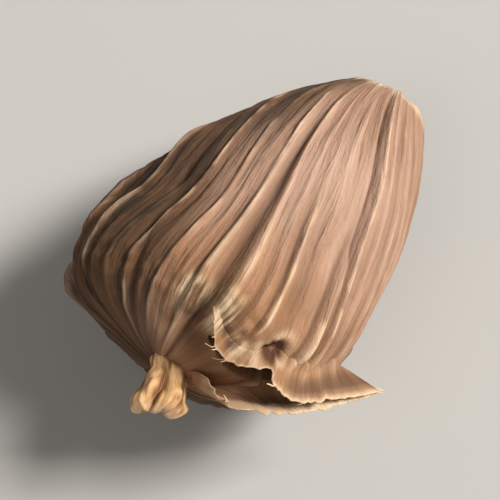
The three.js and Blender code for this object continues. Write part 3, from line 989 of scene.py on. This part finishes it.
def mixed(share, under, over):
    """A share of one colour laid over another."""
    node = add(share.id_data, "ShaderNodeMix", data_type="RGBA")
    put(node.inputs[0], share)
    put(node.inputs[6], under)
    put(node.inputs[7], over)
    return node.outputs[2]


def layered(colour, *layers):
    """Layers (share, colour) laid one after another over a colour."""
    for share, over in layers:
        colour = mixed(share, colour, over)
    return colour


def stretched(value, low, high):
    """A value spread so that low becomes 0 and high becomes 1."""
    node = add(value.id_data, "ShaderNodeMapRange", interpolation_type="SMOOTHSTEP")
    return feed(node, Value=value, From_Min=low, From_Max=high).outputs[0]


def new_group(name, inputs, outputs):
    """A shader node group with inputs (name, kind, start value) and outputs (name, kind)."""
    tree = bpy.data.node_groups.new(name, "ShaderNodeTree")
    for label, kind, value in inputs:
        socket = tree.interface.new_socket(name=label, in_out="INPUT", socket_type=kind)
        if value is not None:
            socket.default_value = value
    for label, kind in outputs:
        tree.interface.new_socket(name=label, in_out="OUTPUT", socket_type=kind)
    return tree, add(tree, "NodeGroupInput").outputs, add(tree, "NodeGroupOutput")


def noise_at(place, **inputs):
    """An uneven pattern at a place, from 0 to 1."""
    return feed(add(place.id_data, "ShaderNodeTexNoise"), Vector=place, **inputs).outputs[0]


def use_group(group, place, **inputs):
    """What a group makes of a place and its other inputs."""
    node = add(place.id_data, "ShaderNodeGroup", node_tree=group)
    return feed(node, Place=place, **inputs).outputs[0]


FLOAT = "NodeSocketFloat"
VECTOR = "NodeSocketVector"


def dry_fibres():
    """Long thin streaks along the ribs, as a mask from 0 to 1."""
    tree, given, end = new_group("Dry fibres", [
        ("Place", VECTOR, None), ("Fineness", FLOAT, 2.0), ("Length", FLOAT, 6.0), ("Contrast", FLOAT, 0.5),
    ], [("Mask", FLOAT)])
    fine = add(tree, "ShaderNodeVectorMath", operation="SCALE")
    feed(fine, Vector=given["Place"], Scale=given["Fineness"])
    parts = feed(add(tree, "ShaderNodeSeparateXYZ"), Vector=fine.outputs[0])
    drawn_out = worked_out("DIVIDE", parts.outputs["Y"], given["Length"])
    joined = add(tree, "ShaderNodeCombineXYZ")
    feed(joined, X=parts.outputs["X"], Y=drawn_out, Z=parts.outputs["Z"])
    noise = noise_at(joined.outputs[0], Scale=1.0, Detail=4.0, Roughness=0.6, Distortion=0.25)
    half = times(given["Contrast"], 0.5)
    feed(end, Mask=stretched(noise, minus(0.5, half), plus(0.5, half)))
    return tree


def blotches():
    """Broad patches with soft, uneven edges, as a mask from 0 to 1."""
    tree, given, end = new_group("Blotches", [
        ("Place", VECTOR, None), ("Size", FLOAT, 4.0), ("Amount", FLOAT, 0.5),
    ], [("Mask", FLOAT)])
    scale = worked_out("DIVIDE", 1.0, given["Size"])
    noise = noise_at(given["Place"], Scale=scale, Detail=5.0, Roughness=0.62, Distortion=0.6)
    low = minus(0.75, times(given["Amount"], 0.5))
    feed(end, Mask=stretched(noise, low, plus(low, 0.2)))
    return tree


def dry_relief():
    """The finest fibres and specks as a normal."""
    tree, given, end = new_group("Dry relief", [
        ("Place", VECTOR, None), ("Fibres", FLOAT, 0.5), ("Strength", FLOAT, 0.5), ("Depth", FLOAT, 0.0001),
    ], [("Normal", VECTOR)])
    specks = noise_at(given["Place"], Scale=7.0, Detail=3.0, Roughness=0.6)
    height = plus(given["Fibres"], times(specks, 0.5))
    bump = add(tree, "ShaderNodeBump")
    feed(bump, Strength=given["Strength"], Distance=given["Depth"], Height=height)
    feed(end, Normal=bump.outputs[0])
    return tree


def attribute(tree, name):
    """What keep_value stored under a name."""
    node = add(tree, "ShaderNodeAttribute", attribute_name=name)
    return node.outputs["Vector"] if name == "fibre" else node.outputs["Fac"]


def new_material(name):
    """A material, its shader, and a function that gives it a kept value by name."""
    material = bpy.data.materials.new(name)
    material.use_nodes = True
    tree = material.node_tree
    shader = feed(tree.nodes["Principled BSDF"], Specular_IOR_Level=0.28)
    return material, shader, partial(attribute, tree)


def dressed(shader, groups, colour, fibres, strength, depth):
    """Gives a shader its colour, and the finest fibres as its normal."""
    place = attribute(shader.id_data, "fibre")
    relief = use_group(groups["relief"], place, Fibres=fibres, Strength=strength, Depth=depth)
    feed(shader, Base_Color=colour, Normal=relief)


def husk_material(groups):
    material, shader, kept = new_material("dry husk")
    fibres = partial(use_group, groups["fibres"], kept("fibre"))
    blotched = partial(use_group, groups["blotches"], kept("fibre"))
    streaks = fibres(Fineness=1.9, Length=9.0, Contrast=0.34)
    threads = fibres(Fineness=6.5, Length=16.0, Contrast=0.5)
    veins = fibres(Fineness=1.0, Length=16.0, Contrast=0.2)
    shreds = fibres(Fineness=2.0, Length=8.0, Contrast=0.24)
    patches = blotched(Size=4.5, Amount=0.55)
    specks = blotched(Size=0.8, Amount=0.35)
    ridge, bared_and_lit, worn_and_lit, warm, pit = map(kept, ("ridge", "bared_and_lit", "worn_and_lit", "warm", "pit"))
    frayed = times(stretched(kept("frayed"), 0.08, 0.75), 0.9)
    raised = plus(ridge, times(worn_and_lit, 0.4), clamp=True)
    # Raised ridges and the pale places painted lighter as painted highlight, mixed with the real streaks.
    lit_and_streaked = plus(times(raised, 0.7), times(streaks, 0.4), clamp=True)
    rubbed = stretched(plus(raised, times(threads, 0.5)), 0.8, 1.4)
    # Painted shade in the valleys between ribs.
    low = minus(1.0, stretched(ridge, 0.05, 0.3))
    pit_floor = times(stretched(pit, 0.85, 1.0), 0.4)

    # Painted light and shade: the side turned to the light is painted paler, the side turned away darker,
    # besides the skin's real rubbed pallor.
    covered_shaded = mixed(lit_and_streaked, HUSK_BROWN, HUSK_TAN)
    bare_lit = mixed(lit_and_streaked, BARED_LIT_BROWN, BARED_LIT_TAN)
    colour = layered(
        mixed(bared_and_lit, covered_shaded, bare_lit),
        (plus(times(patches, 0.25), times(warm, 0.72)), OCHRE),
        (times(rubbed, plus(0.25, times(bared_and_lit, 0.45))), WORN_PINK),
        (times(minus(1.0, veins), 0.4), VEIN_BROWN),
        (times(minus(1.0, threads), 0.2), HUSK_BROWN),
        (times(specks, 0.25), SHADE_AND_SPECK_BROWN),
        (times(low, 0.3), SHADE_AND_SPECK_BROWN),
        # The smooth rubbed face, and painted light at the listed pale places.
        (times(worn_and_lit, 0.55), mixed(warm, FACE_PINK, FACE_OCHRE)),
        (times(frayed, shreds), SHRED_CREAM),
        # Painted shade in the gaps between the frayed shreds.
        (times(times(frayed, minus(1.0, shreds)), 0.7), PAINTED_SHADOW_BROWN),
        # Painted shade in the groove beside each rib.
        (times(kept("groove"), 0.5), SHADE_AND_SPECK_BROWN),
        (times(kept("crest"), plus(0.5, times(bared_and_lit, 0.4))), PAPER_TAN),
        # Painted shadow at the listed spots and on the lips' concave middles.
        (times(kept("painted_shadow"), 0.65), PAINTED_SHADOW_BROWN),
        # Painted shade in the deep furrows.
        (times(kept("furrow"), 0.75), FURROW_SHADE_BROWN),
        (kept("scar"), SCAR_GREY),
        (times(kept("rim"), 0.85), SHRED_CREAM),
        # Painted shade in the pit, lighter on its floor.
        (minus(stretched(pit, 0.0, 0.5), pit_floor), PIT_SHADE_BROWN),
        # Painted shade in the split's hollow.
        (kept("inside"), HOLLOW_SHADE_BROWN),
    )
    feed(shader, Roughness=minus(0.86, times(rubbed, 0.2)))
    grain = plus(times(threads, 0.5), times(streaks, 0.8))
    grain = plus(grain, times(frayed, shreds))
    dressed(shader, groups, colour, grain, strength=0.6, depth=0.00018)
    return material


def stub_material(groups):
    material, shader, kept = new_material("flower tube")
    place = kept("fibre")
    threads = use_group(groups["fibres"], place, Fineness=5.0, Length=6.0, Contrast=0.45)
    patches = use_group(groups["blotches"], place, Size=0.9, Amount=0.55)
    colour = layered(
        mixed(threads, STUB_BROWN, OCHRE),
        (times(kept("ridge"), 0.85), STUB_TAN),
        (times(patches, 0.3), STUB_BROWN),
        (times(kept("edge"), 0.4), PAPER_TAN),
        # Painted shade inside the pursed end.
        (kept("inside"), HOLLOW_SHADE_BROWN),
    )
    feed(shader, Roughness=0.78)
    dressed(shader, groups, colour, threads, strength=0.5, depth=0.0001)
    return material


def fibre_material(groups):
    material, shader, kept = new_material("frayed fibres")
    patches = use_group(groups["blotches"], kept("fibre"), Size=0.7, Amount=0.5)
    feed(shader, Base_Color=mixed(times(patches, 0.8), PAPER_TAN, OCHRE), Roughness=0.8)
    return material


def floor_material():
    material, shader, _ = new_material("pale floor")
    place = add(shader.id_data, "ShaderNodeTexCoord").outputs["Object"]
    noise = noise_at(place, Scale=6.0, Detail=2.0)
    feed(shader, Base_Color=mixed(noise, FLOOR_TONE, FLOOR_SHADE), Roughness=0.9)
    return material


# Studio

CAMERA_AZIMUTH = 33
CAMERA_ELEVATION = 66
CAMERA_LENS = 100
CAMERA_DISTANCE = 96.5
CAMERA_TARGET = (-1.52, -1.16, 7.5)
# Soft lights: place and size in millimetres, power and colour
KEY_LIGHT = ((780, 732, 996), 480, 30, (1.0, 0.97, 0.93))
FILL_LIGHT = ((-200, -950, 850), 1000, 3.2, (1.0, 0.97, 0.92))
SKY_COLOUR = (1, 0.98, 0.96, 1)
FLOOR_SIZE = 4


def set_up(name, data, place, way):
    """Puts a camera or a light at a place in millimetres, to look along a way."""
    thing = bpy.data.objects.new(name, data)
    bpy.context.scene.collection.objects.link(thing)
    thing.location = place * MM
    thing.rotation_mode = "QUATERNION"
    thing.rotation_quaternion = way.to_track_quat("-Z", "Y")
    return thing


def place_camera():
    azimuth = math.radians(CAMERA_AZIMUTH)
    elevation = math.radians(CAMERA_ELEVATION)
    level = math.cos(elevation)
    back = Vector((math.sin(azimuth) * level, -math.cos(azimuth) * level, math.sin(elevation)))
    data = bpy.data.cameras.new("camera")
    data.lens = CAMERA_LENS
    data.clip_start = 0.005
    data.clip_end = 20
    place = Vector(CAMERA_TARGET) + back * CAMERA_DISTANCE
    bpy.context.scene.camera = set_up("camera", data, place, -back)


def place_light(name, place, size, power, colour):
    """A square soft light that faces the pod."""
    data = bpy.data.lights.new(name, "AREA")
    data.energy = power
    data.size = size * MM
    data.color = colour
    set_up(name, data, Vector(place), Vector((0, 0, AXIS_HEIGHT)) - Vector(place))


def light_scene():
    place_light("key", *KEY_LIGHT)
    place_light("fill", *FILL_LIGHT)
    world = bpy.data.worlds.new("studio")
    world.use_nodes = True
    tree = world.node_tree
    height = add(tree, "ShaderNodeSeparateXYZ")
    feed(height, Vector=add(tree, "ShaderNodeTexCoord").outputs["Generated"])
    strength = add(tree, "ShaderNodeMapRange")
    feed(strength, Value=height.outputs["Z"], From_Min=0.05, From_Max=0.45, To_Min=0.5, To_Max=0.13)
    feed(tree.nodes["Background"], Color=SKY_COLOUR, Strength=strength.outputs[0])
    bpy.context.scene.world = world
    bpy.context.scene.view_settings.view_transform = "Standard"


def make_floor():
    start_afresh()
    bpy.ops.mesh.primitive_plane_add(size=FLOOR_SIZE)
    floor = named(bpy.context.object, "floor")
    floor.data.materials.append(floor_material())


def finish_piece(piece, material):
    piece.data.materials.append(material)
    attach(piece, "root")
    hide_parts(NODE)


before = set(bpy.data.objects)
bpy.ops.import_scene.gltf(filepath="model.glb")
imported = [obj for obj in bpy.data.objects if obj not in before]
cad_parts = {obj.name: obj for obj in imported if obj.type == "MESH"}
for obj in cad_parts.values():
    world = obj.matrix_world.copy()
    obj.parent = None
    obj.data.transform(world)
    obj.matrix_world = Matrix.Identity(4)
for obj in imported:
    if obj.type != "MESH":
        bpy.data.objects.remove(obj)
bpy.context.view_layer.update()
start_afresh()

groups = {"fibres": dry_fibres(), "blotches": blotches(), "relief": dry_relief()}
husk_finish = husk_material(groups)
finish_piece(make_husk(), husk_finish)
finish_piece(make_lip("upper_lip", *UPPER_SIDE), husk_finish)
finish_piece(make_lip("lower_lip", *LOWER_SIDE), husk_finish)
finish_piece(make_stub(), stub_material(groups))
finish_piece(make_fibres(), fibre_material(groups))
make_floor()
light_scene()
place_camera()
